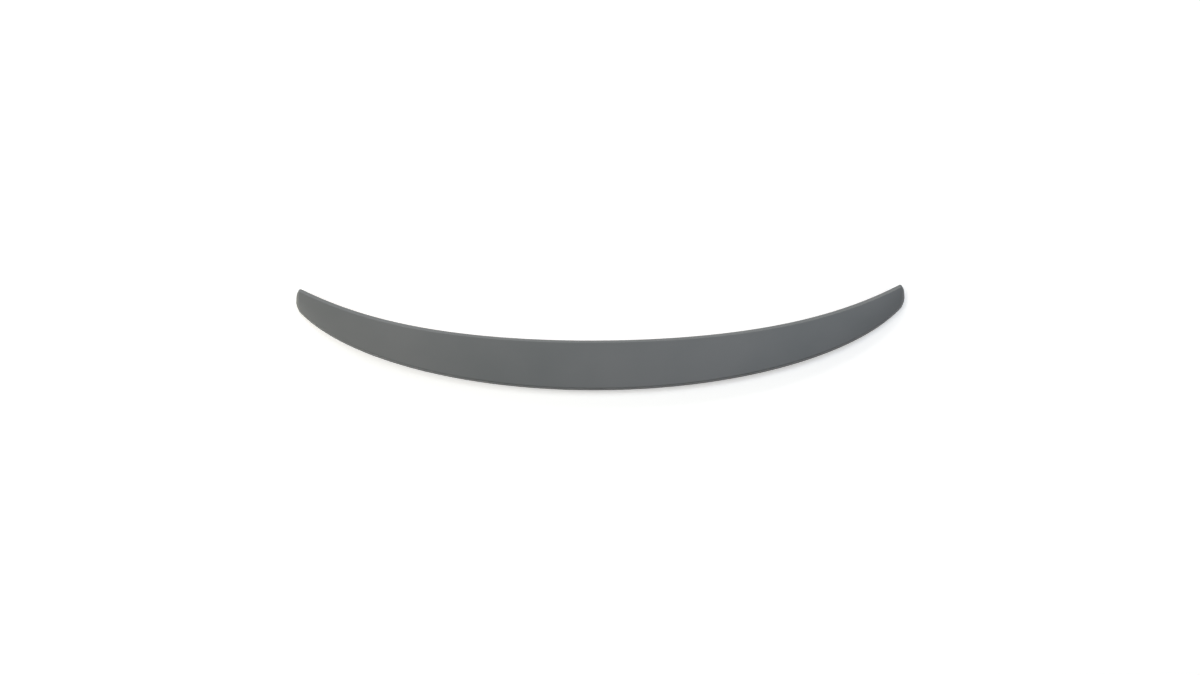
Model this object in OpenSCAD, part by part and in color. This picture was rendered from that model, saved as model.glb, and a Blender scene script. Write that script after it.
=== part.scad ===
// Bonded lip spoiler for a car's boot lid, as it lies on a table with its rear rim down.
// X runs across the car, +Y points to the front of the car and +Z is up.
// The moulding is a loft of cross sections that stand at stations along X.

/* [Plan outline] */
// Width over both ends
span = 1200; // [1000:10:1350]
// Depth from the rear rim to the front edge, at the middle
mid_depth = 96.4; // [85:0.1:110]
// How far the ellipse of the rear rim would run on past each end
rear_overrun = 35.4; // [30:0.1:50]
// Half the short axis of the rear rim's ellipse
rear_sweep = 257.3; // [240:0.1:270]
// How far the front edge curves forward, as a parabola, from the middle to the ends
front_sweep = 77.6; // [70:0.1:90]
// How much further the front edge kicks forward near the ends
tip_sweep = 41.2; // [36:0.1:50]
// Power of the kick near the ends, where more means later and sharper
tip_power = 4.4; // [4:0.1:5]

/* [Rounded tips] */
// Length of the zone at each end in which the cross sections bend into the rounded tip
tip_zone = 24; // [16:1:30]
// Place of the tip's widest point, as a share of the depth from the rear rim
tip_peak = 0.33; // [0.25:0.01:0.5]
// How far the tip's rear corner lies inside the overall width
rear_tip_w = 6.8; // [4:0.1:9]
// How far the tip's front corner lies inside the overall width
front_tip_w = 6.3; // [4:0.1:9]
// Roundness of the tip, where more means flatter at its widest point and tighter at the corners
tip_round = 2.8; // [2:0.1:3.2]
// Radius of the front corner
front_corner_r = 4.5; // [2:0.1:8]

/* [Cross section] */
// Height of the lip's crest above its rim, at the middle
lip_h = 20; // [17:0.5:26]
// Height of the crest at the ends
end_h = 8; // [7:0.5:12]
// Power by which the crest drops towards the ends, where more means later and faster
drop_power = 4.5; // [2:0.5:6]
// Slope of the boot lid's surface against the plane of the rear rim, in degrees
lid_slope = 9; // [6:0.5:10]
// How far the crest overhangs the rim at the middle
crest_overhang = 2.1; // [0:0.1:5]
// How far the rear face leans in, from rim to crest, near the ends
end_draft = 1.8; // [0:0.1:3]
// Power by which the overhang at the middle turns into the lean near the ends
draft_power = 3; // [2:0.1:4]
// Radius of the crest
crest_r = 1.3; // [0.8:0.1:2.5]
// Rise of the ramp above a straight line from the crest to the bevel
ramp_bulge = 1.2; // [0.4:0.1:2]
// Thickness of the front edge below the bevel
edge_t = 1.5; // [1.2:0.1:2]
// Width of the front bevel at the middle
bevel_mid_w = 5.4; // [4:0.1:7]
// Width of the front bevel at the ends
bevel_end_w = 8.4; // [6:0.1:9]
// Power by which the bevel widens towards the ends
bevel_power = 1.2; // [1.1:0.1:3]
// Height of the front bevel for each millimetre of its width
bevel_ratio = 0.65; // [0.5:0.01:0.8]
// Radius of the crease between the ramp and the bevel
crease_r = 3; // [1:0.1:4]
// Width of the drafted wall at each end
end_wall_w = 5.5; // [4:0.1:7]
// Share of the section's height that is left at the foot of the end wall
end_foot = 0.25; // [0.2:0.01:0.4]
// Roundness of the end wall, from 1 for a straight slope to 2 for a quarter ellipse
end_round = 1.4; // [1.2:0.1:2]

/* [Ribbed underside] */
// Wall of the moulding
wall_t = 2.8; // [2.2:0.1:3.2]
// Width of the land along the front edge
front_land_w = 14; // [13:0.5:16]
// Width of the land along the rear rim
rear_land_w = 9; // [8.5:0.5:11]
// Length of the solid land at each end
end_land_w = 32; // [28:1:45]
// Thickness of the ribs
rib_t = 1.8; // [1.4:0.1:2.4]
// Number of bays between the cross ribs
bay_count = 14; // [10:2:18]
// How far the ribs stop short of the boot lid
rib_clear = 1.5; // [1:0.1:2]
// Width of the foot that each rib keeps beside the lands
rib_foot = 0.8; // [0.6:0.1:1.5]
// Depth of the hollow, front to back, from which a long rib splits it
split_depth = 42; // [36:1:50]

/* [Foam tape] */
// Width of the front tape
front_tape_w = 10; // [8:0.5:10]
// Distance of the front tape from the front edge
front_tape_inset = 2; // [1.8:0.1:2.5]
// Width of the rear tape
rear_tape_w = 6; // [5:0.5:6]
// Distance of the rear tape from the rear rim
rear_tape_inset = 1.5; // [1.3:0.1:2]
// Thickness of the tape, which fills its channel flush
tape_t = 1; // [0.8:0.1:1.1]
// Gap between the tape and each side of its channel
tape_side_gap = 0.25; // [0.2:0.05:0.4]
// Distance of the tapes' cut ends from the ends of the spoiler
tape_end_inset = 24; // [20:1:40]

/* [Hidden] */

half_span = span / 2;
rear_half_axis = half_span + rear_overrun;
lid_rise = tan(lid_slope);
hollow_end = half_span - end_land_w;
tape_end = half_span - tape_end_inset;
bay_pitch = 2 * hollow_end / bay_count;

// Stations crowd towards the ends, where the outline turns quickly
end_zone = 40;
main_steps = 28;
end_steps = 13;
main_grading = 1.35;
main_x = half_span - end_zone;
half_stations = concat(
    [for (i = [1:main_steps]) main_x * (1 - pow(1 - i / main_steps, main_grading))],
    [for (i = [1:end_steps]) main_x + end_zone * sin(90 * i / end_steps)]
);
last = len(half_stations) - 1;
stations = concat([for (i = [0:last]) -half_stations[last - i]], [0], half_stations);

// Steps along the rounded and curved stretches of one section
rear_steps = 3;
crest_steps = 5;
ramp_steps = 9;
crease_steps = 3;
edge_steps = 2;
edge_r = 0.6;

// Cuts start this far outside the surface that they open
cut_over = 1;
// Half the distance over which a curve's slope is measured
slope_step = 0.5;
// Least distance kept between two stations
station_gap = 1;
// The roof of a pocket starts this much lower at the rear, inside the rounded crest
roof_drop = 1;

// Share of the way from the middle to an end
function across(x) = min(abs(x) / half_span, 1);

// Value that changes along the span by a power of the share of the way to the end
function blend(mid, tip, x, power) = mid + (tip - mid) * pow(across(x), power);

// Rear rim and front edge in plan
function rear_y(x) = rear_sweep * (1 - sqrt(1 - pow(x / rear_half_axis, 2)));
function front_y(x) =
    mid_depth + front_sweep * pow(across(x), 2) + tip_sweep * pow(across(x), tip_power);
function full_depth(x) = front_y(x) - rear_y(x);

// Drop of the quarter circle that rounds the front corner, and the depth that it leaves
function front_corner(x) =
    let (r = front_corner_r, d = max(0, abs(x) - (half_span - r)))
    r - sqrt(max(0, r * r - d * d));
function depth(x) = full_depth(x) - front_corner(x);

// How far the tip's outline lies inside the overall width, at a share of the depth
function tip_bow(share) =
    share < tip_peak
        ? rear_tip_w * pow((tip_peak - share) / tip_peak, tip_round)
        : front_tip_w * pow((share - tip_peak) / (1 - tip_peak), tip_round);

// Place across the car of the point of station x at a share of its depth: the stations bend in the tip
// zone, and the last one is the tip's outline
function bent_x(x, share) =
    let (bend = max(0, abs(x) - (half_span - tip_zone)) / tip_zone)
    sign(x) * (abs(x) - bend * tip_bow(share));

// A width measured square to a curve, turned into a width along Y
function stretch(y_before, y_after) = sqrt(1 + pow((y_after - y_before) / (2 * slope_step), 2));
function inner_x(x) = min(abs(x), half_span - slope_step);
function rear_stretch(x) =
    let (a = inner_x(x)) stretch(rear_y(a - slope_step), rear_y(a + slope_step));
function front_stretch(x) =
    let (a = inner_x(x)) stretch(front_y(a - slope_step), front_y(a + slope_step));

// Distance of the crest from the rim along Y: behind it at the middle, in front of it at the ends
function crest_s(x) = blend(-crest_overhang, end_draft, x, draft_power) * rear_stretch(x);
function crest_h(x) = blend(lip_h, end_h, x, drop_power);
function bevel_w(x) = blend(bevel_mid_w, bevel_end_w, x, bevel_power);
function bevel_h(x) = bevel_w(x) * bevel_ratio;

// Share of the section's height that is left on the drafted end wall
function end_share(x) =
    let (d = min(1, max(0, (abs(x) - (half_span - end_wall_w)) / end_wall_w)))
    end_foot + (1 - end_foot) * pow(1 - pow(d, end_round), 1 / end_round);

// Corners of the section before rounding, as distance from the rim and height above the boot lid
function crest_point(x) = let (s = crest_s(x)) [s, crest_h(x) - lid_rise * s];
function crease_point(x) = let (d = depth(x)) [d - bevel_w(x), edge_t + bevel_h(x)];
function ramp_control(x) =
    (crest_point(x) + crease_point(x)) / 2 + [0, 2 * ramp_bulge];

function unit(v) = v / norm(v);

// Arc of radius r that rounds the corner at c between its neighbours a and b
function round_corner(a, c, b, r, steps) =
    let (
        u = unit(a - c),
        v = unit(b - c),
        half = acos(max(-1, min(1, u * v))) / 2,
        reach = r / tan(half),
        centre = c + unit(u + v) * r / sin(half),
        start = c + u * reach,
        turn = cross(u, v) > 0 ? -1 : 1,
        sweep = turn * (180 - 2 * half),
        arm = start - centre
    )
    [for (i = [0:steps])
        let (t = sweep * i / steps)
        centre + [arm.x * cos(t) - arm.y * sin(t), arm.x * sin(t) + arm.y * cos(t)]];

// Quadratic curve from a to b with control point c, without its two end points
function curve_between(a, c, b, steps) =
    [for (i = [1:steps - 1])
        let (t = i / steps)
        a * pow(1 - t, 2) + c * 2 * t * (1 - t) + b * t * t];

// Closed outline of the moulding at x: rim, rear face, crest, ramp, bevel and front edge
function outer_profile(x) =
    let (
        crest = crest_point(x),
        control = ramp_control(x),
        crease = crease_point(x),
        edge_top = [depth(x), edge_t],
        edge_foot = [depth(x), 0],
        crest_arc = round_corner([0, 0], crest, control, crest_r, crest_steps),
        crease_arc = round_corner(control, crease, edge_top, crease_r, crease_steps),
        edge_arc = round_corner(crease, edge_top, edge_foot, edge_r, edge_steps)
    )
    concat(
        [for (i = [0:rear_steps - 1]) crest_arc[0] * i / rear_steps],
        crest_arc,
        curve_between(crest_arc[crest_steps], control, crease_arc[0], ramp_steps),
        crease_arc,
        edge_arc,
        [edge_foot]
    );

// Point at a distance s from the rim on the bent station x, along X and Y from the middle of the rim
function in_plan(x, s) =
    let (share = s / full_depth(x), u = bent_x(x, share))
    [u, rear_y(u) + share * full_depth(u)];

// Middle of the body's depth, which goes to Y = 0
rear_most_y = min([for (p = outer_profile(0)) p.x]);
front_most_y = max([for (x = half_stations) in_plan(x, depth(x)).y]);
middle_y = (rear_most_y + front_most_y) / 2;

// Point of a section put in its place, with its height scaled on the end wall
function place(x, p, height_share = 1) =
    let (q = in_plan(x, p.x), s = q.y - rear_y(q.x))
    [q.x, q.y - middle_y, lid_rise * s + p.y * height_share];

// Height above the lid of the inside of the ramp, at a distance s from the rim
function ceiling(x, s) =
    let (
        a = crest_point(x),
        c = ramp_control(x),
        b = crease_point(x),
        t = (s - a.x) / (b.x - a.x)
    )
    a.y * pow(1 - t, 2) + c.y * 2 * t * (1 - t) + b.y * t * t - wall_t;

// Edges of the hollow, as distances from the rim along Y
function hollow_rear(x) = rear_land_w * rear_stretch(x);
function hollow_front(x) = depth(x) - front_land_w * front_stretch(x);

// Solid skinned over a list of sections, all with the same number of points
module loft(sections) {
    rows = len(sections);
    size = len(sections[0]);
    points = [for (s = sections) each s];
    sides = [for (i = [0:rows - 2]) for (j = [0:size - 1])
        let (
            k = (j + 1) % size,
            a = i * size + j,
            b = i * size + k,
            c = (i + 1) * size + k,
            d = (i + 1) * size + j
        )
        each [[a, b, c], [a, c, d]]];
    start_cap = [[for (j = [0:size - 1]) size - 1 - j]];
    end_cap = [[for (j = [0:size - 1]) (rows - 1) * size + j]];
    polyhedron(points = points, faces = concat(sides, start_cap, end_cap), convexity = 8);
}

// Stations within a distance of the middle, with one at each limit
function stations_to(limit) =
    concat([-limit], [for (x = stations) if (abs(x) < limit - station_gap) x], [limit]);

// Band on the boot lid's side of the moulding between two curves given as section distances
module underside_band(limit, low, high, near, far) {
    loft([for (x = stations_to(limit))
        [
            place(x, [near(x), low]),
            place(x, [near(x), high]),
            place(x, [far(x), high]),
            place(x, [far(x), low])
        ]]);
}

module outer_skin() {
    loft([for (x = stations) [for (p = outer_profile(x)) place(x, p, end_share(x))]]);
}

// Section of a pocket at x: foot and roof at the toe of the rear wall, middle of the roof, front wall
function pocket_profile(x, from_share, to_share, from_gap, to_gap) =
    let (
        rear = hollow_rear(x),
        front = hollow_front(x),
        near = rear + (front - rear) * from_share + from_gap,
        far = rear + (front - rear) * to_share - to_gap,
        roof = from_share > 0 ? near : (max(0, crest_s(x)) + wall_t) * rear_stretch(x),
        roof_h = ceiling(x, roof) - (from_share > 0 ? 0 : roof_drop),
        foot = near + (near - roof) * cut_over / roof_h,
        roof_mid = (roof + far) / 2
    )
    [
        place(x, [foot, -cut_over]),
        place(x, [roof, roof_h]),
        place(x, [roof_mid, ceiling(x, roof_mid)]),
        place(x, [far, ceiling(x, far)]),
        place(x, [far, -cut_over])
    ];

// One pocket of the hollow between two cross ribs, from near to far as shares of its depth
module pocket(x_from, x_to, from_share, to_share, from_gap, to_gap) {
    cuts = concat(
        [x_from],
        [for (x = stations) if (x > x_from + station_gap && x < x_to - station_gap) x],
        [x_to]
    );
    for (i = [1:len(cuts) - 1]) {
        hull() loft([
            pocket_profile(cuts[i - 1], from_share, to_share, from_gap, to_gap),
            pocket_profile(cuts[i], from_share, to_share, from_gap, to_gap)
        ]);
    }
}

// All pockets: two rows where the hollow is deep, and one row near the ends
module hollow() {
    for (i = [0:bay_count - 1]) {
        x_from = -hollow_end + i * bay_pitch + (i == 0 ? 0 : rib_t / 2);
        x_to = -hollow_end + (i + 1) * bay_pitch - (i == bay_count - 1 ? 0 : rib_t / 2);
        x_outer = max(abs(x_from), abs(x_to));
        if (hollow_front(x_outer) - hollow_rear(x_outer) > split_depth) {
            pocket(x_from, x_to, 0, 0.5, 0, rib_t / 2);
            pocket(x_from, x_to, 0.5, 1, rib_t / 2, 0);
        } else {
            pocket(x_from, x_to, 0, 1, 0, 0);
        }
    }
}

// Distances of the tapes and their channels from the rim, along Y
function rear_tape_near(x, gap) = (rear_tape_inset - gap) * rear_stretch(x);
function rear_tape_far(x, gap) = (rear_tape_inset + rear_tape_w + gap) * rear_stretch(x);
function front_tape_near(x, gap) =
    depth(x) - (front_tape_inset + front_tape_w + gap) * front_stretch(x);
function front_tape_far(x, gap) = depth(x) - (front_tape_inset - gap) * front_stretch(x);

module rear_strip(limit, low, gap) {
    underside_band(
        limit, low, tape_t,
        function (x) rear_tape_near(x, gap),
        function (x) rear_tape_far(x, gap)
    );
}

module front_strip(limit, low, gap) {
    underside_band(
        limit, low, tape_t,
        function (x) front_tape_near(x, gap),
        function (x) front_tape_far(x, gap)
    );
}

// One-piece moulding with ribbed hollow, lands and tape channels
module spoiler_body() {
    color("#6b6e70") difference() {
        outer_skin();
        hollow();
        underside_band(
            hollow_end - station_gap, -cut_over, rib_clear,
            function (x) hollow_rear(x) + rib_foot,
            function (x) hollow_front(x) - rib_foot
        );
        rear_strip(tape_end + tape_side_gap, -cut_over, tape_side_gap);
        front_strip(tape_end + tape_side_gap, -cut_over, tape_side_gap);
    }
}

module front_tape() {
    color("#8f2a22") front_strip(tape_end, 0, 0);
}

module rear_tape() {
    color("#8f2a22") rear_strip(tape_end, 0, 0);
}

spoiler_body();
front_tape();
rear_tape();
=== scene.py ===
"""Lip spoiler for a car's boot lid, in grey primer, lying on a pale studio floor.

The spoiler is one ABS moulding with a ribbed underside and two strips of foam tape. Its surfaces are
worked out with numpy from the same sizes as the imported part, on a finer grid, and then dressed.
The spoiler's sizes are millimetres in the part's own frame, with X across the car, +Y to its front and
Z up. The studio's sizes are metres.
"""

import logging
import math
from collections.abc import Callable
from dataclasses import dataclass, field
from enum import Enum

import bpy
import numpy as np
from mathutils import Matrix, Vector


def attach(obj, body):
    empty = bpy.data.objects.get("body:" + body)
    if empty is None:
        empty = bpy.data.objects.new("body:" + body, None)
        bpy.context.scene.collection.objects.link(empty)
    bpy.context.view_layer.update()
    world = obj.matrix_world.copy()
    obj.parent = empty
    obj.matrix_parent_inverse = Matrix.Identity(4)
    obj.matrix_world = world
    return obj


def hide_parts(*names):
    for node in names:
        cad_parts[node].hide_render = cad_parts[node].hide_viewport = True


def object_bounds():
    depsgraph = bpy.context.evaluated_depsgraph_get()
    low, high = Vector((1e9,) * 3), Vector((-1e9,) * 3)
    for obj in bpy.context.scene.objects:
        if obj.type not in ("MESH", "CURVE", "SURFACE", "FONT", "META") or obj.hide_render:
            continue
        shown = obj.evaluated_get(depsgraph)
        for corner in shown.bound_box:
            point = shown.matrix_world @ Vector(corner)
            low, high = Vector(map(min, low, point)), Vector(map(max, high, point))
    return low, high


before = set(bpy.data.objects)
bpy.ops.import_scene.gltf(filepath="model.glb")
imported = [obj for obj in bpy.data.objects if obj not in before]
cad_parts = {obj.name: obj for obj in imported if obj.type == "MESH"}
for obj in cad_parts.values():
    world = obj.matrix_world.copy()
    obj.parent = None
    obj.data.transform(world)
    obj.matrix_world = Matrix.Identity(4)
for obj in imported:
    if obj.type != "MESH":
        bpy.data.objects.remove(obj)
CAD_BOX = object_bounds()

MM = 0.001
BODY = "root"
LOG = logging.getLogger("lip_spoiler")

# Sockets of the mix node that carry colours
COLOUR_A, COLOUR_B, COLOUR_OUT = 6, 7, 2

Point = tuple[float, float, float]
Curve = Callable[[np.ndarray], np.ndarray]
# Two values at each station
Pair = tuple[np.ndarray, np.ndarray]
# Distance from the rim and height above the boot lid at each station
Row = Pair

LAMP_AIM: Point = (0.0, 0.05, 0.0)


class TapePlace(Enum):
    """The two strips of foam tape, by the name of their node."""

    FRONT = "front_tape"
    REAR = "rear_tape"


class Softbox(Enum):
    """The studio's lamps."""

    LEFT_HIGH = "left_high_softbox"
    LEFT_LOW = "left_low_softbox"
    RIGHT = "right_softbox"
    FRONT = "front_softbox"
    FRONT_LEFT = "front_left_softbox"
    LEFT_TOP = "left_top_softbox"
    RIGHT_TOP = "right_top_softbox"


def unit(vectors: np.ndarray) -> np.ndarray:
    """Vectors of length one along the last axis."""
    return vectors / np.linalg.norm(vectors, axis=-1, keepdims=True)


def rounded_corner(a: np.ndarray, c: np.ndarray, b: np.ndarray, radius: float, steps: int) -> np.ndarray:
    """Arcs that round the corners c between the neighbours a and b.

    The arc's centre lies on the corner's bisector at radius over the sine of half the angle, and the arc
    turns from the tangent point on the side of a through 180 degrees less the corner's angle.

    Args:
        a: Points before the corners, one row each.
        c: The corners.
        b: Points after the corners.
        radius: Radius of the arcs.
        steps: Steps along each arc.

    Returns:
        Array of corners by steps + 1 by 2.
    """
    to_a, to_b = unit(a - c), unit(b - c)
    half = np.arccos(np.clip((to_a * to_b).sum(-1), -1, 1)) / 2
    centre = c + unit(to_a + to_b) * (radius / np.sin(half))[:, None]
    arm = c + to_a * (radius / np.tan(half))[:, None] - centre
    turn = np.where(to_a[:, 0] * to_b[:, 1] - to_a[:, 1] * to_b[:, 0] > 0, -1.0, 1.0)
    angle = (turn * (math.pi - 2 * half))[:, None] * np.linspace(0, 1, steps + 1)
    cos, sin = np.cos(angle), np.sin(angle)
    along = arm[:, None, 0] * cos - arm[:, None, 1] * sin
    up = arm[:, None, 0] * sin + arm[:, None, 1] * cos
    return centre[:, None, :] + np.stack([along, up], -1)


def bow(a: np.ndarray, c: np.ndarray, b: np.ndarray, shares: np.ndarray) -> np.ndarray:
    """Points of the quadratic curves from a to b with control points c, at the given shares."""
    t = shares[None, :, None]
    return a[:, None] * (1 - t) ** 2 + c[:, None] * 2 * t * (1 - t) + b[:, None] * t**2


@dataclass(frozen=True)
class PlanOutline:
    """Rear rim and front edge of the spoiler seen from above.

    The rear rim is an arc of an ellipse that runs on past the ends. The front edge is a parabola with a
    higher power added, which kicks it forward near the ends. In the tip zone the stations bend more and
    more, until the last one is the rounded end of the outline.
    """

    half_span: float = 600.0
    mid_depth: float = 96.4
    rear_overrun: float = 35.4
    rear_sweep: float = 257.3
    front_sweep: float = 77.6
    tip_sweep: float = 41.2
    tip_power: float = 4.4
    tip_zone: float = 24.0
    tip_peak: float = 0.33
    tip_round: float = 2.8
    rear_tip_w: float = 6.8
    front_tip_w: float = 6.3
    front_corner_r: float = 4.5
    slope_step: float = 0.5

    def across(self, x: np.ndarray) -> np.ndarray:
        """Share of the way from the middle to an end."""
        return np.minimum(np.abs(x) / self.half_span, 1.0)

    def blend(self, mid: float, tip: float, x: np.ndarray, power: float) -> np.ndarray:
        """Value that goes from mid to tip by a power of the share of the way to the end."""
        return mid + (tip - mid) * self.across(x) ** power

    def rear(self, x: np.ndarray) -> np.ndarray:
        """Rear rim: the sweep times one less a unit circle's height at X over the half axis."""
        return self.rear_sweep * (1 - np.sqrt(1 - (x / (self.half_span + self.rear_overrun)) ** 2))

    def front(self, x: np.ndarray) -> np.ndarray:
        """Front edge: the middle's depth plus a square and a higher power of the way to the end."""
        u = self.across(x)
        return self.mid_depth + self.front_sweep * u**2 + self.tip_sweep * u**self.tip_power

    def full_depth(self, x: np.ndarray) -> np.ndarray:
        """Distance from the rear rim to the front edge's curve."""
        return self.front(x) - self.rear(x)

    def depth(self, x: np.ndarray) -> np.ndarray:
        """Full depth less the drop of the quarter circle that rounds the front corner.

        Args:
            x: Stations along X.

        Returns:
            Distance from the rear rim to the front edge.
        """
        r = self.front_corner_r
        d = np.maximum(0.0, np.abs(x) - (self.half_span - r))
        return self.full_depth(x) - r + np.sqrt(np.maximum(0.0, r**2 - d**2))

    def tip_bow(self, share: np.ndarray) -> np.ndarray:
        """How far the end's outline lies inside the overall width, by a power from its widest point.

        Args:
            share: Share of the depth, from the rear rim.

        Returns:
            Distance from the overall width.
        """
        to_rear = self.rear_tip_w * (np.maximum(0, self.tip_peak - share) / self.tip_peak) ** self.tip_round
        past = np.maximum(0, share - self.tip_peak) / (1 - self.tip_peak)
        return to_rear + self.front_tip_w * past**self.tip_round

    def bent(self, x: np.ndarray, s: np.ndarray) -> Pair:
        """Bends stations into the tip's outline, by a share that grows over the tip zone.

        Args:
            x: Stations along X.
            s: Distances from the rim on the straight stations.

        Returns:
            Places along X and distances from the rim there.
        """
        share = s / self.full_depth(x)
        bend = np.maximum(0, np.abs(x) - (self.half_span - self.tip_zone)) / self.tip_zone
        along = np.sign(x) * (np.abs(x) - bend * self.tip_bow(share))
        return along, share * self.full_depth(along)

    def stretch(self, curve: Curve, x: np.ndarray) -> np.ndarray:
        """How much longer along Y a width is than it is square to a curve.

        Args:
            curve: The rim's or the front edge's curve.
            x: Stations along X.

        Returns:
            Root of one plus the square of the curve's slope.
        """
        a = np.minimum(np.abs(x), self.half_span - self.slope_step)
        rise = curve(a + self.slope_step) - curve(a - self.slope_step)
        return np.sqrt(1 + (rise / (2 * self.slope_step)) ** 2)


@dataclass(frozen=True)
class LipSection:
    """Cross section of the moulding, as distance from the rear rim and height above the boot lid.

    From the rim it goes up the rear face, over the rounded crest, along the slightly bowed ramp, over a
    soft crease and down the bevel to the thin front edge.
    """

    plan: PlanOutline = field(default_factory=PlanOutline)
    lip_h: float = 20.0
    end_h: float = 8.0
    drop_power: float = 4.5
    lid_slope_deg: float = 9.0
    crest_overhang: float = 2.1
    end_draft: float = 1.8
    draft_power: float = 3.0
    crest_r: float = 1.3
    ramp_bulge: float = 1.2
    edge_t: float = 1.5
    edge_r: float = 0.6
    bevel_mid_w: float = 5.4
    bevel_end_w: float = 8.4
    bevel_power: float = 1.2
    bevel_ratio: float = 0.65
    crease_r: float = 3.0
    end_wall_w: float = 5.5
    end_foot: float = 0.25
    end_round: float = 1.4
    wall_t: float = 2.8
    rear_steps: int = 6
    crest_steps: int = 10
    ramp_steps: int = 26
    crease_steps: int = 8
    edge_steps: int = 5
    outline_steps: int = 2001

    @property
    def lid_rise(self) -> float:
        """Rise of the boot lid for each millimetre towards the front."""
        return math.tan(math.radians(self.lid_slope_deg))

    def crest(self, x: np.ndarray) -> np.ndarray:
        """Sharp corner that the crest rounds: behind the rim at the middle, in front of it at the ends.

        Args:
            x: Stations along X.

        Returns:
            The corners, one row each.
        """
        lean = self.plan.blend(-self.crest_overhang, self.end_draft, x, self.draft_power)
        s = lean * self.plan.stretch(self.plan.rear, x)
        height = self.plan.blend(self.lip_h, self.end_h, x, self.drop_power)
        return np.stack([s, height - self.lid_rise * s], -1)

    def crease(self, x: np.ndarray) -> np.ndarray:
        """Sharp corner that the crease between the ramp and the bevel rounds."""
        width = self.plan.blend(self.bevel_mid_w, self.bevel_end_w, x, self.bevel_power)
        return np.stack([self.plan.depth(x) - width, self.edge_t + width * self.bevel_ratio], -1)

    def ramp_control(self, x: np.ndarray) -> np.ndarray:
        """Control point of the ramp's bow: the middle of its ends, raised by twice the bulge."""
        return (self.crest(x) + self.crease(x)) / 2 + np.array([0.0, 2 * self.ramp_bulge])

    def end_share(self, x: np.ndarray) -> np.ndarray:
        """Share of the section's height that is left on the end wall, by a superellipse."""
        d = np.clip((np.abs(x) - (self.plan.half_span - self.end_wall_w)) / self.end_wall_w, 0, 1)
        return self.end_foot + (1 - self.end_foot) * (1 - d**self.end_round) ** (1 / self.end_round)

    def outer(self, x: np.ndarray) -> np.ndarray:
        """Outer surface from the rim to the foot of the front edge.

        The straight rear face, the crest's arc, the ramp's bow, the crease's arc, the straight bevel and
        the edge's arc follow each other. On the end walls all heights are taken times the end's share.

        Args:
            x: Stations along X.

        Returns:
            Array of stations by points by 2.
        """
        crest, control, crease = self.crest(x), self.ramp_control(x), self.crease(x)
        rim = np.zeros((len(x), 2))
        rise = np.linspace(0, 1, self.rear_steps + 1)[:-1, None]
        edge_top = np.stack([self.plan.depth(x), np.full(len(x), self.edge_t)], -1)
        edge_foot = np.stack([self.plan.depth(x), np.zeros(len(x))], -1)
        crest_arc = rounded_corner(rim, crest, control, self.crest_r, self.crest_steps)
        crease_arc = rounded_corner(control, crease, edge_top, self.crease_r, self.crease_steps)
        edge_arc = rounded_corner(crease, edge_top, edge_foot, self.edge_r, self.edge_steps)
        shares = np.linspace(0, 1, self.ramp_steps + 1)[1:-1]
        ramp = bow(crest_arc[:, -1], control, crease_arc[:, 0], shares)
        rear_face = crest_arc[:, :1] * rise
        parts = [rear_face, crest_arc, ramp, crease_arc, edge_arc, edge_foot[:, None]]
        points = np.concatenate(parts, axis=1)
        points[:, :, 1] *= self.end_share(x)[:, None]
        return points

    def ceiling(self, x: np.ndarray, s: np.ndarray) -> np.ndarray:
        """Height above the lid of the ramp's inside: the ramp's bow, one wall lower.

        Args:
            x: Stations along X.
            s: Distance from the rim at each station.

        Returns:
            The heights.
        """
        a, c, b = self.crest(x), self.ramp_control(x), self.crease(x)
        t = (s - a[:, 0]) / (b[:, 0] - a[:, 0])
        return a[:, 1] * (1 - t) ** 2 + c[:, 1] * 2 * t * (1 - t) + b[:, 1] * t**2 - self.wall_t

    def place(self, x: np.ndarray, s: np.ndarray, height: np.ndarray) -> np.ndarray:
        """Puts section points into the part's frame.

        Y is the rim's curve plus the distance from it, less the body's middle. Z is the height plus the
        lid's rise over that distance.

        Args:
            x: Stations along X, which broadcast to s.
            s: Distances from the rim.
            height: Heights above the boot lid.

        Returns:
            Points in metres.
        """
        along, s = self.plan.bent(np.broadcast_to(x, s.shape), s)
        y = self.plan.rear(along) + s - self.middle_y()
        return np.stack([along, y, self.lid_rise * s + height], -1) * MM

    def middle_y(self) -> float:
        """Middle of the body's depth.

        Returns:
            Halfway between its rearmost and its foremost point.
        """
        rearmost = self.outer(np.zeros(1))[0, :, 0].min()
        x = np.linspace(0, self.plan.half_span, self.outline_steps)
        along, s = self.plan.bent(x, self.plan.depth(x))
        return (rearmost + (self.plan.rear(along) + s).max()) / 2


@dataclass(frozen=True)
class PocketWall:
    """Draft and fillet of a pocket's wall, as shares of its height at distances from its foot."""

    distances: tuple[float, ...] = (0.0, 0.05, 0.45, 0.8, 1.4)
    shares: tuple[float, ...] = (0.0, 0.02, 0.94, 0.985, 1.0)

    def share(self, distance: np.ndarray | float) -> np.ndarray | float:
        """Share of the wall's height at a distance from its foot."""
        return np.interp(distance, self.distances, self.shares)

    @property
    def reach(self) -> float:
        """Distance at which the wall has become roof."""
        return self.distances[-1]


@dataclass(frozen=True)
class TapeStrip:
    """One strip of foam tape, narrower than its channel by a gap on each side."""

    place: TapePlace
    width: float
    inset: float
    thickness: float = 1.0
    side_gap: float = 0.25
    end_inset: float = 24.0

    def edges(self, section: LipSection, x: np.ndarray, gap: float) -> Pair:
        """Sides of the strip, or with a gap those of its channel.

        They lie at the inset and at the inset plus the width, stretched along Y by their edge's slope.

        Args:
            section: The moulding's section.
            x: Stations along X.
            gap: How far the sides are moved outwards.

        Returns:
            Distances from the rim of the rear and the front side.
        """
        plan = section.plan
        if self.place is TapePlace.REAR:
            k = plan.stretch(plan.rear, x)
            return (self.inset - gap) * k, (self.inset + self.width + gap) * k
        k = plan.stretch(plan.front, x)
        depth = plan.depth(x)
        return depth - (self.inset + self.width + gap) * k, depth - (self.inset - gap) * k


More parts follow.
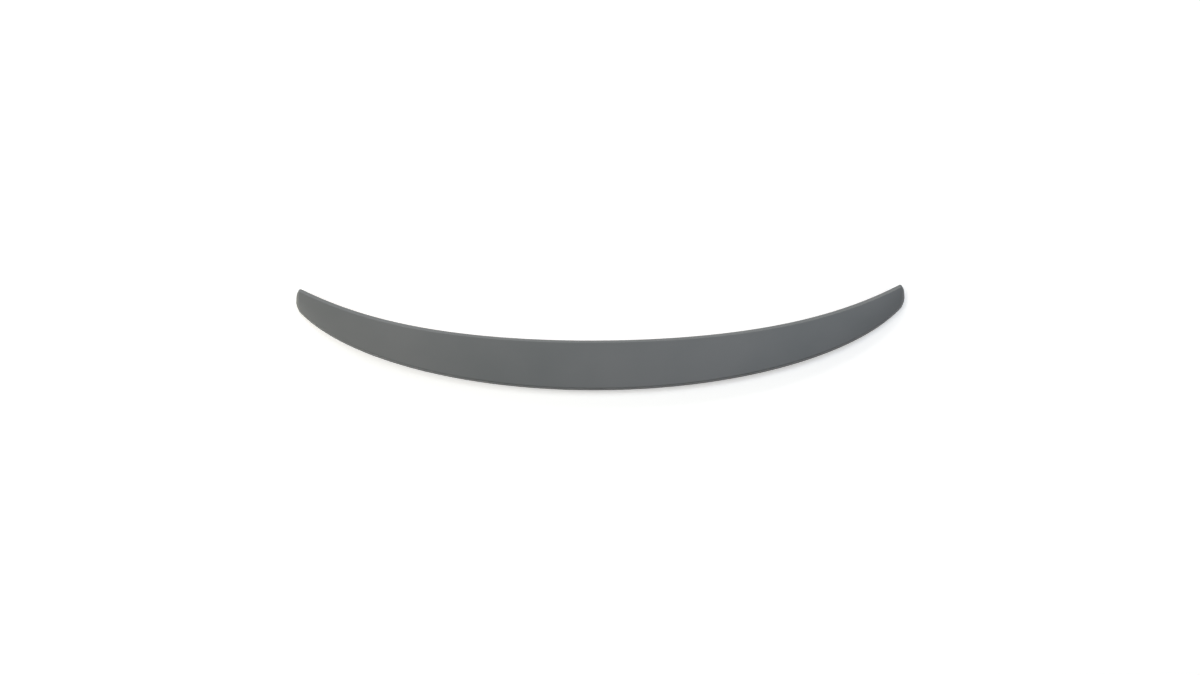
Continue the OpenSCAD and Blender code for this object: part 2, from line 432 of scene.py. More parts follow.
@dataclass(frozen=True)
class RibbedUnderside:
    """Boot lid's side of the moulding: two lands with tape channels and a hollow with ribs.

    It is a grid of rows along the spoiler. Each row knows where it lies on a cross rib and where it lies
    in a pocket, and a mask along X, 0 on a rib and 1 in a pocket, moves it from the one to the other.
    The toe is the slanted inside of the rear wall. Its rows lie at shares of the way from the rear land
    to the roof in a pocket, and at a number of rib feet from the rear land on a rib.
    """

    section: LipSection
    front_tape: TapeStrip
    rear_tape: TapeStrip
    wall: PocketWall = field(default_factory=PocketWall)
    front_land_w: float = 14.0
    rear_land_w: float = 9.0
    end_land_w: float = 32.0
    rib_t: float = 1.8
    rib_margin: float = 0.3
    bay_count: int = 14
    rib_clear: float = 1.5
    rib_foot: float = 0.8
    split_depth: float = 42.0
    roof_drop: float = 1.0
    roof_steps: int = 7
    toe_shares: tuple[float, ...] = (1.0, 0.93, 0.6, 0.3, 0.0)
    toe_feet: tuple[float, ...] = (2.2, 1.7, 1.0, 0.5, 0.0)
    roof_feet: float = 2.5
    channel_wall: float = 0.04
    channel_steps: int = 8
    least_step: float = 0.02
    touch: float = 1e-6

    @property
    def hollow_end(self) -> float:
        """Where the hollow ends towards the spoiler's ends."""
        return self.section.plan.half_span - self.end_land_w

    def hollow_edges(self, x: np.ndarray) -> Pair:
        """Sides of the hollow: each land's width inside its edge, stretched along Y by the edge's slope.

        Args:
            x: Stations along X.

        Returns:
            Distances from the rim of the rear and the front side.
        """
        plan = self.section.plan
        rear = self.rear_land_w * plan.stretch(plan.rear, x)
        front = plan.depth(x) - self.front_land_w * plan.stretch(plan.front, x)
        return rear, front

    def rib_centres(self) -> np.ndarray:
        """Places of the cross ribs along X."""
        return np.linspace(-self.hollow_end, self.hollow_end, self.bay_count + 1)[1:-1]

    def channel_stop(self, tape: TapeStrip) -> float:
        """Where a tape's channel ends towards the spoiler's ends."""
        return self.section.plan.half_span - tape.end_inset + tape.side_gap

    def stations(self) -> np.ndarray:
        """Extra stations that the ribs' sides and the channels' ends need.

        Returns:
            Their places along X, unsorted.
        """
        steps = np.array([-self.rib_margin, *self.wall.distances])
        offsets = steps + self.rib_t / 2
        ribs = (self.rib_centres()[:, None] + np.concatenate([-offsets, offsets])).ravel()
        ends = self.hollow_end - steps
        channels = self.channel_stop(self.front_tape) + np.array([0.0, self.channel_wall])
        return np.concatenate([ribs, ends, -ends, channels, -channels])

    def pocket_mask(self, x: np.ndarray) -> np.ndarray:
        """0 on cross ribs and end lands, 1 in pockets, with the wall's draft between them."""
        to_rib = np.abs(x[:, None] - self.rib_centres()).min(axis=1) - self.rib_t / 2
        return self.wall.share(np.minimum(to_rib, self.hollow_end - np.abs(x)))

    def split_mask(self, x: np.ndarray) -> np.ndarray:
        """Tells the bays that a long rib splits from the shallow ones.

        Args:
            x: Stations along X.

        Returns:
            1 where the hollow is deep enough at the bay's outer side, and 0 elsewhere.
        """
        pitch = 2 * self.hollow_end / self.bay_count
        bay = np.clip(np.floor((x + self.hollow_end) / pitch), 0, self.bay_count - 1)
        outer = np.abs((bay + 0.5) * pitch - self.hollow_end) + (pitch - self.rib_t) / 2
        rear, front = self.hollow_edges(np.minimum(outer, self.hollow_end))
        return (front - rear > self.split_depth).astype(float)

    def channel_rows(self, tape: TapeStrip, x: np.ndarray) -> list[Row]:
        """Rows down, across and up a tape channel: evenly spaced on its floor, a hair from its sides.

        Args:
            tape: The strip that lies in the channel.
            x: Stations along X.

        Returns:
            The rows, from the channel's front side to its rear side.
        """
        near, far = tape.edges(self.section, x, tape.side_gap)
        deep = tape.thickness * (np.abs(x) <= self.channel_stop(tape))
        flat = np.zeros_like(x)
        start, end = far - self.channel_wall, near + self.channel_wall
        shares = np.linspace(0, 1, self.channel_steps + 1)
        floor = [(start + (end - start) * share, deep) for share in shares]
        return [(far, flat), *floor, (near, flat)]

    def mixed(self, x: np.ndarray, rib: Row, pocket: Row) -> Row:
        """A row that lies at rib on the cross ribs and at pocket between them."""
        m = self.pocket_mask(x)
        return rib[0] + (pocket[0] - rib[0]) * m, rib[1] + (pocket[1] - rib[1]) * m

    def rib_row(self, x: np.ndarray, s: np.ndarray) -> Row:
        """Where a row lies on a cross rib: on its edge, or on its foot beside a land.

        Args:
            x: Stations along X.
            s: Distances from the rim.

        Returns:
            The row, as if cross ribs stood everywhere.
        """
        rear, front = self.hollow_edges(x)
        foot = np.minimum(s - rear, front - s) < self.rib_foot + self.touch
        edge_h = self.rib_clear * (np.abs(x) < self.hollow_end)
        return s, np.where(foot, 0.0, edge_h)

    def front_wall_rows(self, x: np.ndarray) -> list[Row]:
        """Rows up the hollow's front wall: at each distance of its draft, that share of the roof's height.

        Args:
            x: Stations along X.

        Returns:
            The rows, from the front land to the roof.
        """
        _, front = self.hollow_edges(x)
        rows = []
        for distance, share in zip(self.wall.distances, self.wall.shares):
            s = front - distance
            rows.append(self.mixed(x, self.rib_row(x, s), (s, share * self.section.ceiling(x, s))))
        return rows

    def roof_rows(self, x: np.ndarray, start: np.ndarray, end: Pair) -> list[Row]:
        """Evenly spaced rows over a roof.

        Args:
            x: Stations along X.
            start: Distance from the rim at which the roof starts.
            end: Distances at which it ends on a rib and in a pocket.

        Returns:
            The rows between start and end.
        """
        rows = []
        for share in np.linspace(0, 1, self.roof_steps + 1)[1:-1]:
            on_rib = start + (end[0] - start) * share
            s = start + (end[1] - start) * share
            rows.append(self.mixed(x, self.rib_row(x, on_rib), (s, self.section.ceiling(x, s))))
        return rows

    def long_rib_rows(self, x: np.ndarray) -> list[Row]:
        """Rows down, across and up the long rib in the middle of the hollow.

        The height goes from the rib's edge to the roof by the wall's share at the distance from the rib.

        Args:
            x: Stations along X.

        Returns:
            The rows, from the rib's front side to its rear side. They stay on the roof in shallow bays.
        """
        rear, front = self.hollow_edges(x)
        middle = (rear + front) / 2
        offsets = np.array(self.wall.distances[::-1]) + self.rib_t / 2
        rows = []
        for offset in np.concatenate([offsets, -offsets[::-1]]):
            s = middle + offset
            roof = self.section.ceiling(x, s)
            share = self.wall.share(abs(offset) - self.rib_t / 2)
            split_h = self.rib_clear + (roof - self.rib_clear) * share
            h = roof + (split_h - roof) * self.split_mask(x)
            rows.append(self.mixed(x, self.rib_row(x, s), (s, h)))
        return rows

    def toe_rows(self, x: np.ndarray) -> list[Row]:
        """Rows from the roof down the slanted inside of the rear wall to the rear land.

        Args:
            x: Stations along X.

        Returns:
            The rows, from the roof to the land.
        """
        rear, _ = self.hollow_edges(x)
        roof_s, roof_h = self.toe_roof(x)
        rows = []
        for share, feet in zip(self.toe_shares, self.toe_feet):
            s = rear + (roof_s - rear) * share
            rows.append(self.mixed(x, self.rib_row(x, rear + feet * self.rib_foot), (s, roof_h * share)))
        return rows

    def toe_roof(self, x: np.ndarray) -> Row:
        """Rear corner of the roof, one wall inside the crest and a little below the rest.

        Args:
            x: Stations along X.

        Returns:
            Distances from the rim and heights above the boot lid.
        """
        plan = self.section.plan
        lean = np.maximum(0.0, self.section.crest(x)[:, 0]) + self.section.wall_t
        s = lean * plan.stretch(plan.rear, x)
        return s, self.section.ceiling(x, s) - self.roof_drop

    def rows(self, x: np.ndarray) -> list[Row]:
        """All rows of the underside.

        Args:
            x: Stations along X.

        Returns:
            The rows from the front edge's foot to the rim, without those two.
        """
        rear, front = self.hollow_edges(x)
        middle, reach = (rear + front) / 2, self.wall.reach + self.rib_t / 2
        before, after = middle + reach, middle - reach
        toe_on_rib = rear + self.roof_feet * self.rib_foot
        toe_in_pocket = self.toe_roof(x)[0] + self.wall.reach
        return [
            *self.channel_rows(self.front_tape, x),
            *self.front_wall_rows(x),
            *self.roof_rows(x, front - self.wall.reach, (before, before)),
            *self.long_rib_rows(x),
            *self.roof_rows(x, after, (toe_on_rib, toe_in_pocket)),
            *self.toe_rows(x),
            *self.channel_rows(self.rear_tape, x),
        ]

    def grid(self, x: np.ndarray) -> np.ndarray:
        """All rows as one array. On the end lands each row lies a hair behind the one before.

        Args:
            x: Stations along X.

        Returns:
            Array of stations by rows by 2.
        """
        grid = np.stack([np.stack(row, -1) for row in self.rows(x)], axis=1)
        lead = self.least_step * np.arange(grid.shape[1])
        land = np.abs(x) > self.hollow_end
        grid[land, :, 0] = np.minimum.accumulate(grid[land, :, 0] + lead, axis=1) - lead
        return grid


def make_piece(
    name: str, points: np.ndarray, faces: list[list[int]], sharp_deg: float = 30.0
) -> bpy.types.Object:
    """Puts a mesh into the scene, shaded smooth with sharp edges where it folds.

    Args:
        name: Name of the piece.
        points: Vertices in metres.
        faces: Vertex numbers of each face, anticlockwise from outside.
        sharp_deg: Fold from which an edge stays sharp, in degrees.

    Returns:
        The new object, at the origin.
    """
    mesh = bpy.data.meshes.new(name)
    mesh.from_pydata(points.tolist(), [], faces)
    mesh.validate()
    mesh.shade_smooth()
    mesh.set_sharp_from_angle(angle=math.radians(sharp_deg))
    piece = bpy.data.objects.new(name, mesh)
    bpy.context.scene.collection.objects.link(piece)
    return piece


def inside_cad(points: np.ndarray) -> np.ndarray:
    """Points pulled onto the CAD model's box where the finer surface passes it by a hair."""
    return np.clip(points, CAD_BOX[0], CAD_BOX[1])


def loop_quads(rows: int, size: int) -> list[list[int]]:
    """Quads that skin closed loops. Point j of loop i is vertex i * size + j.

    Args:
        rows: Number of loops, which run anticlockwise when seen along +X.
        size: Points in each loop.

    Returns:
        The quads' vertex numbers.
    """
    i, j = np.meshgrid(np.arange(rows - 1), np.arange(size), indexing="ij")
    k = (j + 1) % size
    quads = np.stack([i * size + j, (i + 1) * size + j, (i + 1) * size + k, i * size + k], -1)
    return quads.reshape(-1, 4).tolist()


def flat_ends(rows: int, size: int) -> list[list[int]]:
    """One face over each end, where the end loops are flat."""
    return [list(range(size)), list(range(rows * size - 1, (rows - 1) * size - 1, -1))]


def bowed_ends(loop_s: np.ndarray, top: int) -> list[list[int]]:
    """Triangles over each end wall, so that it follows the bow of the end loops.

    The points of the wall's top and of its foot are sorted by how far forward each of the two has come.
    Each point in turn makes a triangle with the last point of the top and of the foot before it.

    Args:
        loop_s: Distance from the rear rim of each point, as loops by points.
        top: How many points run forward along the wall's top. The rest run back along its foot.

    Returns:
        The triangles, rung by rung from the rear to the front.
    """
    rows, size = loop_s.shape
    faces = []
    for row, turn in ((0, 1), (rows - 1, -1)):
        foot_reach = np.maximum.accumulate(loop_s[row, : top - 1 : -1][1:])
        top_reach = np.maximum.accumulate(loop_s[row, 1:top])
        order = np.argsort(np.concatenate([foot_reach, top_reach]), kind="stable")
        on_top = order >= len(foot_reach)
        above = np.cumsum(on_top) - on_top
        below = size - 1 - (np.arange(len(order)) - above)
        corner = np.where(on_top, above + 1, below - 1)
        triangles = row * size + np.stack([above, corner, below], -1)
        faces += triangles[:, ::turn].tolist()
    return faces


def linear(hex_colour: str) -> tuple[float, float, float, float]:
    """Turns an sRGB hex value to a linear colour by the sRGB curve.

    Args:
        hex_colour: Colour such as #66696b.

    Returns:
        Red, green, blue and alpha, which is 1.
    """
    srgb = np.array([int(hex_colour[i : i + 2], 16) for i in (1, 3, 5)]) / 255
    values = np.where(srgb <= 0.04045, srgb / 12.92, ((srgb + 0.055) / 1.055) ** 2.4)
    return (*values.tolist(), 1.0)


def add_node(tree: bpy.types.NodeTree, kind: str, inputs: dict, **settings: object) -> bpy.types.Node:
    """Adds a node with its settings, values and links.

    Args:
        tree: Node tree that gets the node.
        kind: Type name of the node.
        inputs: Value or output socket for each input, by name or number.
        settings: Attributes of the node.

    Returns:
        The new node.
    """
    node = tree.nodes.new(kind)
    for key, value in settings.items():
        setattr(node, key, value)
    for key, value in inputs.items():
        if isinstance(value, bpy.types.NodeSocket):
            tree.links.new(value, node.inputs[key])
        else:
            node.inputs[key].default_value = value
    return node


def new_material(name: str) -> bpy.types.Material:
    """Makes an empty node material.

    Args:
        name: The real material's name.

    Returns:
        The material, without nodes.
    """
    material = bpy.data.materials.new(name)
    material.use_nodes = True
    material.node_tree.nodes.clear()
    return material


@dataclass(frozen=True)
class PrimedAbs:
    """Grey primer sprayed over moulded ABS.

    Sprayed primer is satin and even, with a fine orange peel and a faint cloudiness where the coats
    overlap. The primer reaches the hidden side only as overspray along its edges, in a soft speckled
    border, and leaves the dark, slightly glossier moulded ABS bare inside. The surface turns from bare
    to painted where its share of paint, counted twice, and the speckle add up to the cover band. Real
    spray specks are finer than this speckle, which is drawn coarser so that it shows.
    """

    primer: str = "#66696b"
    primer_cloud: str = "#6c6e70"
    primer_rough: float = 0.52
    abs_colour: str = "#1c1d1f"
    abs_grain: str = "#25262a"
    abs_rough: float = 0.36
    film_ior: float = 1.45
    cloud_mm: float = 160.0
    peel_mm: float = 2.4
    speckle_mm: float = 0.5
    peel_depth_mm: float = 0.012
    peel_strength: float = 0.35
    colour_band: tuple[float, float] = (0.35, 0.65)
    paint_weight: float = 2.0
    cover_band: tuple[float, float] = (0.75, 1.25)

    def build(self) -> bpy.types.Material:
        """Makes the material.

        Returns:
            The material, with its share of paint taken from the piece's own attribute.
        """
        material = new_material("primed_moulded_abs")
        tree = material.node_tree
        place = add_node(tree, "ShaderNodeTexCoord", {}).outputs["Object"]
        cloud, peel, speckle = (
            add_node(
                tree, "ShaderNodeTexNoise", {"Vector": place, "Scale": 1 / (size * MM), "Detail": detail}
            ).outputs["Fac"]
            for size, detail in ((self.cloud_mm, 3.0), (self.peel_mm, 2.0), (self.speckle_mm, 1.0))
        )
        primer = add_node(tree, "ShaderNodeValToRGB", {"Fac": cloud})
        grain = add_node(tree, "ShaderNodeValToRGB", {"Fac": speckle})
        for ramp, low, high in (
            (primer.color_ramp, self.primer, self.primer_cloud),
            (grain.color_ramp, self.abs_colour, self.abs_grain),
        ):
            for stop, position, colour in zip(ramp.elements, self.colour_band, (low, high)):
                stop.position = position
                stop.color = linear(colour)
        paint = add_node(tree, "ShaderNodeAttribute", {}, attribute_name="paint").outputs["Fac"]
        speckled = add_node(
            tree,
            "ShaderNodeMath",
            {0: paint, 1: self.paint_weight, 2: speckle},
            operation="MULTIPLY_ADD",
        ).outputs[0]
        bare, covered = self.cover_band
        cover = add_node(
            tree, "ShaderNodeMapRange", {"Value": speckled, "From Min": bare, "From Max": covered}
        ).outputs[0]
        colour = add_node(
            tree,
            "ShaderNodeMix",
            {"Factor": cover, COLOUR_A: grain.outputs["Color"], COLOUR_B: primer.outputs["Color"]},
            data_type="RGBA",
        ).outputs[COLOUR_OUT]
        rough = add_node(
            tree,
            "ShaderNodeMapRange",
            {"Value": cover, "To Min": self.abs_rough, "To Max": self.primer_rough},
        ).outputs[0]
        bump = add_node(
            tree,
            "ShaderNodeBump",
            {"Height": peel, "Strength": self.peel_strength, "Distance": self.peel_depth_mm * MM},
        ).outputs[0]
        shader = add_node(
            tree,
            "ShaderNodeBsdfPrincipled",
            {"Base Color": colour, "Roughness": rough, "IOR": self.film_ior, "Normal": bump},
        )
        add_node(tree, "ShaderNodeOutputMaterial", {"Surface": shader.outputs[0]})
        return material


@dataclass(frozen=True)
class ReleaseFilm:
    """Red polyethylene release film on the tape: thin, smooth and softly glossy, with faint creases. The
    creases' hollows are darkened in colour, as painted shade.
    """

    colour: str = "#b3261c"
    # Darker red for the creases' hollows: painted shade, not a colour of the film itself
    painted_crease_shade: str = "#9d1e17"
    roughness: float = 0.3
    crease_mm: float = 9.0
    crease_depth_mm: float = 0.1
    crease_strength: float = 0.3

    def build(self) -> bpy.types.Material:
        """Makes the material of the tape's free face.

        Returns:
            The material.
        """
        material = new_material("red_release_film")
        tree = material.node_tree
        place = add_node(tree, "ShaderNodeTexCoord", {}).outputs["Object"]
        creases = add_node(
            tree, "ShaderNodeTexNoise", {"Vector": place, "Scale": 1 / (self.crease_mm * MM)}
        ).outputs["Fac"]
        ramp = add_node(tree, "ShaderNodeValToRGB", {"Fac": creases})
        # The darker stop falls where the crease noise is low, in the creases' hollows: painted shade
        for stop, colour in zip(ramp.color_ramp.elements, (self.painted_crease_shade, self.colour)):
            stop.color = linear(colour)
        bump = add_node(
            tree,
            "ShaderNodeBump",
            {
                "Height": creases,
                "Strength": self.crease_strength,
                "Distance": self.crease_depth_mm * MM,
            },
        ).outputs[0]
        shader = add_node(
            tree,
            "ShaderNodeBsdfPrincipled",
            {"Base Color": ramp.outputs["Color"], "Roughness": self.roughness, "Normal": bump},
        )
        add_node(tree, "ShaderNodeOutputMaterial", {"Surface": shader.outputs[0]})
        return material


@dataclass(frozen=True)
class AcrylicFoam:
    """Grey acrylic foam of the tape: dull, with a fine closed-cell grain on its cut sides.

    The real cells are about a tenth of a millimetre wide, and are drawn coarser so that they show.
    """

    colour: str = "#55575a"
    cell_colour: str = "#3d3f42"
    roughness: float = 0.85
    cell_mm: float = 0.4

    def build(self) -> bpy.types.Material:
        """Makes the material of the tape's sides and bonded face.

        Returns:
            The material.
        """
        material = new_material("grey_acrylic_foam")
        tree = material.node_tree
        place = add_node(tree, "ShaderNodeTexCoord", {}).outputs["Object"]
        cells = add_node(
            tree, "ShaderNodeTexVoronoi", {"Vector": place, "Scale": 1 / (self.cell_mm * MM)}
        ).outputs["Distance"]
        ramp = add_node(tree, "ShaderNodeValToRGB", {"Fac": cells})
        for stop, colour in zip(ramp.color_ramp.elements, (self.cell_colour, self.colour)):
            stop.color = linear(colour)
        shader = add_node(
            tree,
            "ShaderNodeBsdfPrincipled",
            {"Base Color": ramp.outputs["Color"], "Roughness": self.roughness},
        )
        add_node(tree, "ShaderNodeOutputMaterial", {"Surface": shader.outputs[0]})
        return material


@dataclass
class SpoilerMoulding:
    """The one-piece ABS moulding: outer skin and ribbed underside as one closed surface."""

    section: LipSection
    underside: RibbedUnderside
    end_zone: float = 40.0
    main_pitch: float = 6.0
    end_steps: int = 40
    main_gap: float = 0.12
    end_gap: float = 0.03
    sharp_deg: float = 34.0
    overspray_mm: float = 7.0
    height_weight: float = 2.0

    def stations(self) -> np.ndarray:
        """Stations along X: even in the middle, crowded by a sine at the ends, with those of the ribs.

        Returns:
            Sorted places. A regular one that lies too close to a rib's is left out.
        """
        half_span = self.section.plan.half_span
        main_x = half_span - self.end_zone
        steps = 2 * int(main_x / self.main_pitch)
        quarter = np.linspace(0, math.pi / 2, self.end_steps + 1)[1:]
        ends = main_x + self.end_zone * np.sin(quarter)
        extra = self.underside.stations()
        main = np.linspace(-main_x, main_x, steps + 1)
        main = main[np.abs(main[:, None] - extra).min(axis=1) > self.main_gap]
        ends = ends[np.abs(ends[:, None] - extra).min(axis=1) > self.end_gap]
        return np.unique(np.concatenate([main, ends, -ends, extra]))

    def build(self) -> bpy.types.Object:
        """Makes the moulding's mesh.

        Returns:
            The piece, with the share of paint at each point as an attribute.
        """
        x = self.stations()
        outer = self.section.outer(x)
        loop = np.concatenate([outer, self.underside.grid(x)], axis=1)
        points = inside_cad(self.section.place(x[:, None], loop[:, :, 0], loop[:, :, 1]))
        faces = loop_quads(*loop.shape[:2]) + bowed_ends(loop[:, :, 0], outer.shape[1])
        piece = make_piece("primed_spoiler_moulding", points.reshape(-1, 3), faces, self.sharp_deg)
        self.mask_paint(piece, x, loop, outer.shape[1])
        return piece

    def mask_paint(self, piece: bpy.types.Object, x: np.ndarray, loop: np.ndarray, outer: int) -> None:
        """Stores how much paint reaches each point: all of it outside.

        Underneath it is one less the way in over the overspray's reach. The way in is the distance from
        the nearest edge plus the weighted height.

        Args:
            piece: The moulding.
            x: Its stations.
            loop: Its section points, as stations by points by 2.
            outer: How many of a station's points lie on the outer surface.
        """
        s, height = loop[:, :, 0], loop[:, :, 1]
        to_front = self.section.plan.depth(x)[:, None] - s
        to_end = self.section.plan.half_span - np.abs(x)[:, None]
        inward = np.minimum(np.minimum(s, to_front), to_end)
        way_in = inward + self.height_weight * np.maximum(height, 0)
        paint = np.clip(1 - way_in / self.overspray_mm, 0, 1)
        paint[:, :outer] = 1.0
        layer = piece.data.attributes.new("paint", "FLOAT", "POINT")
        layer.data.foreach_set("value", paint.ravel().astype(np.float32))

    def dress(self, piece: bpy.types.Object, finish: PrimedAbs) -> None:
        """Gives the moulding its finish and ties it to the frame.

        Args:
            piece: The moulding.
            finish: Its finish.
        """
        piece.data.materials.append(finish.build())
        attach(piece, BODY)
        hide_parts("spoiler_body")
        LOG.info("%s: %d faces", piece.name, len(piece.data.polygons))


@dataclass
class TapeRun:
    """One strip of tape as a mesh: foam with rounded sides under a film."""

    section: LipSection
    tape: TapeStrip
    pitch: float = 5.0
    edge_r: float = 0.15
    sharp_deg: float = 50.0
    film_normal_z: float = -0.8

    def build(self) -> bpy.types.Object:
        """Makes the strip's mesh. Its loop runs over the bonded face, down the front side and back.

        Returns:
            The piece.
        """
        stop = self.section.plan.half_span - self.tape.end_inset
        x = np.linspace(-stop, stop, 2 * int(stop / self.pitch) + 1)
        near, far = self.tape.edges(self.section, x, 0.0)
        top, r, flat = np.full_like(x, self.tape.thickness), self.edge_r, np.zeros_like(x)
        loop = [
            (near, flat + r),
            (near, top - r),
            (near + r, top),
            (far - r, top),
            (far, top - r),
            (far, flat + r),
            (far - r, flat),
            (near + r, flat),
        ]
        grid = np.stack([np.stack(row, -1) for row in loop], axis=1)
        points = self.section.place(x[:, None], grid[:, :, 0], grid[:, :, 1])
        faces = loop_quads(*grid.shape[:2]) + flat_ends(*grid.shape[:2])
        name = f"{self.tape.place.value}_strip"
        return make_piece(name, points.reshape(-1, 3), faces, self.sharp_deg)

    def dress(self, piece: bpy.types.Object, film: ReleaseFilm, foam: AcrylicFoam) -> None:
        """Puts foam all round and film on the free face, and ties the strip to the frame.

        Args:
            piece: The strip.
            film: Finish of the faces that look down.
            foam: Finish of all others.
        """
        piece.data.materials.append(foam.build())
        piece.data.materials.append(film.build())
        normals = np.empty(len(piece.data.polygons) * 3)
        piece.data.polygons.foreach_get("normal", normals)
        is_film = normals.reshape(-1, 3)[:, 2] < self.film_normal_z
        piece.data.polygons.foreach_set("material_index", is_film.astype(np.int32))
        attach(piece, BODY)
        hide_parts(self.tape.place.value)
        LOG.info("%s: %d faces", piece.name, len(piece.data.polygons))


@dataclass(frozen=True)
class StudioFloor:
    """White paper floor: it renders white to the camera and keeps the object's soft shadow.

    The paper gives part of its white by itself, more of it far out, where the lamps hardly reach.
    """

    half_size: float = 60.0
    gap_below: float = 0.0002
    paper: str = "#bcbcbc"
    shaded_paper: str = "#f2f2f2"
    glow: float = 0.42
    far_glow: float = 1.0
    lit_reach: float = 1.5
    far_reach: float = 4.5

    def build(self) -> bpy.types.Object:
        """Makes the floor.

        Returns:
            The floor, just under the rear rim.
        """
        s, z = self.half_size, -self.gap_below
        corners = np.array([[-s, -s, z], [s, -s, z], [s, s, z], [-s, s, z]])
        floor = make_piece("studio_floor", corners, [[0, 1, 2, 3]])
        floor.data.materials.append(self.material())
        return floor

    def material(self) -> bpy.types.Material:
        """Makes paper that the camera sees as its own light plus part of the light that falls on it.

        Returns:
            The material. To diffuse light it is plain pale paper.
        """
        material = new_material("white_paper")
        tree = material.node_tree
        path = add_node(tree, "ShaderNodeLightPath", {})
        seen = path.outputs["Is Camera Ray"]
        for ray in ("Is Glossy Ray", "Is Transmission Ray"):
            seen = add_node(
                tree, "ShaderNodeMath", {0: seen, 1: path.outputs[ray]}, operation="MAXIMUM"
            ).outputs[0]
        place = add_node(tree, "ShaderNodeTexCoord", {}).outputs["Object"]
        distance = add_node(tree, "ShaderNodeVectorMath", {0: place}, operation="LENGTH").outputs["Value"]
        strength = add_node(
            tree,
            "ShaderNodeMapRange",
            {
                "Value": distance,
                "From Min": self.lit_reach,
                "From Max": self.far_reach,
                "To Min": self.glow,
                "To Max": self.far_glow,
            },
        ).outputs[0]
        plain = add_node(tree, "ShaderNodeBsdfDiffuse", {"Color": linear(self.paper)})
        part = add_node(tree, "ShaderNodeBsdfDiffuse", {"Color": linear(self.shaded_paper)})
        glow = add_node(tree, "ShaderNodeEmission", {"Strength": strength})
        lit = add_node(tree, "ShaderNodeAddShader", {0: part.outputs[0], 1: glow.outputs[0]})
        mix = add_node(tree, "ShaderNodeMixShader", {0: seen, 1: plain.outputs[0], 2: lit.outputs[0]})
        add_node(tree, "ShaderNodeOutputMaterial", {"Surface": mix.outputs[0]})
        return material


def around(bearing_deg: float, height_deg: float, distance: float = 5.0) -> Point:
    """A place on a dome over the object.

    Args:
        bearing_deg: Bearing, counted from the front towards the right.
        height_deg: Height above the horizon.
        distance: Distance from the origin.

    Returns:
        The place.
    """
    bearing, height = math.radians(bearing_deg), math.radians(height_deg)
    flat = distance * math.cos(height)
    return flat * math.sin(bearing), flat * math.cos(bearing), distance * math.sin(height)


def direction(gaze: np.ndarray) -> Point:
    """Euler angles that turn an object's -Z along gaze with its +Y as far up as it goes."""
    x, y, z = unit(gaze)
    return math.acos(-z), 0.0, math.atan2(y, x) - math.pi / 2


@dataclass(frozen=True)
class Lamp:
    """One softbox."""

    kind: Softbox
    place: Point
    aim: Point
    size: tuple[float, float]
    watts: float
    colour: str

    def build(self) -> bpy.types.Object:
        """Makes the area lamp.

        Returns:
            The lamp, turned to its aim.
        """
        data = bpy.data.lights.new(self.kind.value, "AREA")
        data.shape = "RECTANGLE"
        data.size, data.size_y = self.size
        data.energy = self.watts
        data.color = linear(self.colour)[:3]
        lamp = bpy.data.objects.new(self.kind.value, data)
        lamp.location = self.place
        lamp.rotation_euler = direction(np.array(self.aim) - np.array(self.place))
        bpy.context.scene.collection.objects.link(lamp)
        return lamp


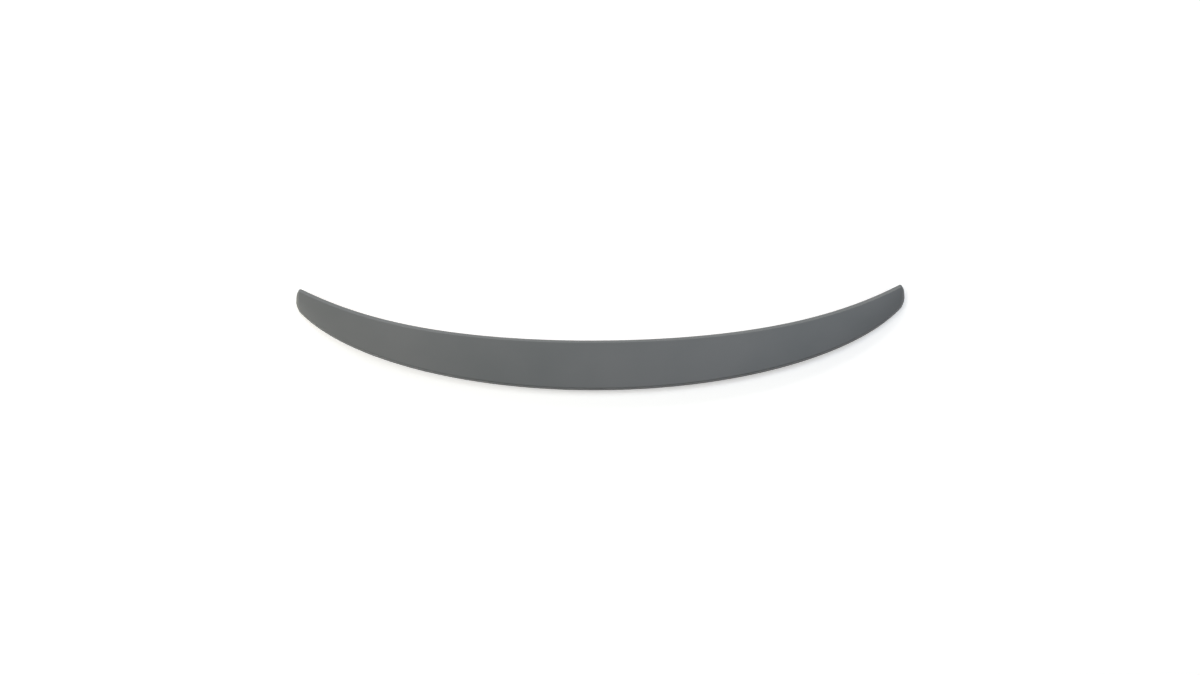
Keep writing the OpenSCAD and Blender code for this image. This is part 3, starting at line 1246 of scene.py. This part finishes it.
@dataclass
class Studio:
    """Floor, soft lamps, even surroundings and the camera."""

    floor: StudioFloor = field(default_factory=StudioFloor)
    surround: str = "#fdfffe"
    surround_strength: float = 0.1
    camera_elevation_deg: float = 72.0
    camera_distance: float = 3.5
    camera_roll_deg: float = 0.424
    camera_aim: Point = (-0.0013, 0.0036, 0.0)
    lens_mm: float = 53.53
    sensor_mm: float = 36.0
    lamps: tuple[Lamp, ...] = (
        Lamp(Softbox.LEFT_HIGH, around(-90, 45), LAMP_AIM, (1.8, 1.8), 83.0, "#fffefc"),
        Lamp(Softbox.LEFT_LOW, around(-90, 10), LAMP_AIM, (1.8, 1.8), 110.0, "#fffbe8"),
        Lamp(Softbox.RIGHT, around(90, 20), LAMP_AIM, (1.8, 1.8), 74.0, "#fffefc"),
        Lamp(Softbox.FRONT, around(0, 20), LAMP_AIM, (1.8, 1.8), 74.0, "#fffffc"),
        Lamp(Softbox.FRONT_LEFT, around(-30, 20), LAMP_AIM, (1.8, 1.8), 54.0, "#fefffa"),
        Lamp(Softbox.LEFT_TOP, (-1.0, 0.83, 2.4), (-1.0, 0.05, 0.0), (0.35, 1.0), 6.5, "#fff0c0"),
        Lamp(Softbox.RIGHT_TOP, (0.65, 0.83, 2.4), (0.65, 0.05, 0.0), (0.35, 1.0), 10.5, "#d0e4ff"),
    )

    def build(self) -> None:
        """Sets the whole studio up."""
        self.floor.build()
        for lamp in self.lamps:
            lamp.build()
        self.world()
        self.camera()
        bpy.context.scene.view_settings.view_transform = "Standard"

    def world(self) -> None:
        """Lets even soft light come from all round."""
        world = bpy.data.worlds.new("soft_surround")
        bpy.context.scene.world = world
        world.use_nodes = True
        tree = world.node_tree
        tree.nodes.clear()
        soft = add_node(
            tree,
            "ShaderNodeBackground",
            {"Color": linear(self.surround), "Strength": self.surround_strength},
        )
        add_node(tree, "ShaderNodeOutputWorld", {"Surface": soft.outputs[0]})

    def camera(self) -> None:
        """Puts the camera steeply above and behind the spoiler, with the photograph's slight roll."""
        data = bpy.data.cameras.new("camera")
        data.lens, data.sensor_width = self.lens_mm, self.sensor_mm
        camera = bpy.data.objects.new("camera", data)
        tilt = math.radians(self.camera_elevation_deg)
        back = np.array([0.0, -math.cos(tilt), math.sin(tilt)])
        camera.location = np.array(self.camera_aim) + back * self.camera_distance
        pitch = Matrix.Rotation(math.pi / 2 - tilt, 3, "X")
        roll = Matrix.Rotation(-math.radians(self.camera_roll_deg), 3, "Z")
        camera.rotation_euler = (pitch @ roll).to_euler()
        bpy.context.scene.collection.objects.link(camera)
        bpy.context.scene.camera = camera


def main() -> None:
    """Builds the moulding, the tapes and the studio."""
    logging.basicConfig(level=logging.INFO, format="%(name)s %(message)s")
    section = LipSection()
    front_tape = TapeStrip(TapePlace.FRONT, width=10.0, inset=2.0)
    rear_tape = TapeStrip(TapePlace.REAR, width=6.0, inset=1.5)
    moulding = SpoilerMoulding(section, RibbedUnderside(section, front_tape, rear_tape))
    moulding.dress(moulding.build(), PrimedAbs())
    for tape in (front_tape, rear_tape):
        run = TapeRun(section, tape)
        run.dress(run.build(), ReleaseFilm(), AcrylicFoam())
    Studio().build()
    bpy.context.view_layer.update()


if __name__ == "__main__":
    main()
